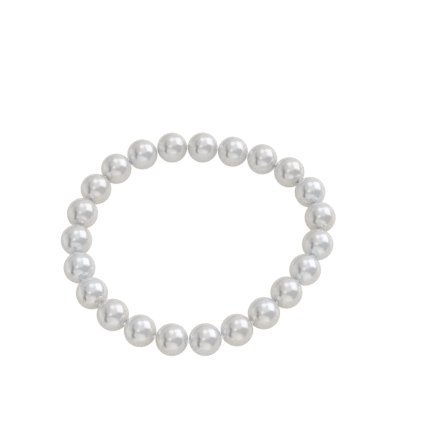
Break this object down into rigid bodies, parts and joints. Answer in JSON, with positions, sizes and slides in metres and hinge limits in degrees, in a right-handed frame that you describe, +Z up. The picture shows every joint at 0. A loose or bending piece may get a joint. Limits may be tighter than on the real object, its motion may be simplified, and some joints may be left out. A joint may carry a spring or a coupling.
{
  "type": "pearl bracelet",
  "caption": "Stretch bracelet: a closed loop of round white imitation pearls, drilled through and strung on an elastic thread, lying flat.",
  "frame": {"origin": "on the surface that the pearls rest on, at the middle of the lying loop", "axes": "+Z up, away from the surface and through the wrist opening; +X along the loop's longer side; +Y towards the side with the loop's flatter run of pearls, away from the viewer"},
  "size_m": [0.0704, 0.065, 0.008],
  "materials": {
    "pearl": "white pearlescent lacquer, glossy, with soft silvery reflections",
    "elastic": "milky white elastic thread, satin"
  },
  "bodies": {
    "root": {"pearl_01": "pearl", "pearl_02": "pearl", "pearl_03": "pearl", "pearl_04": "pearl", "pearl_05": "pearl", "pearl_06": "pearl", "pearl_07": "pearl", "pearl_08": "pearl", "pearl_09": "pearl", "pearl_10": "pearl", "pearl_11": "pearl", "pearl_12": "pearl", "pearl_13": "pearl", "pearl_14": "pearl", "pearl_15": "pearl", "pearl_16": "pearl", "pearl_17": "pearl", "pearl_18": "pearl", "pearl_19": "pearl", "pearl_20": "pearl", "pearl_21": "pearl", "pearl_22": "pearl", "pearl_23": "pearl", "thread": "elastic"}
  },
  "joints": []
}
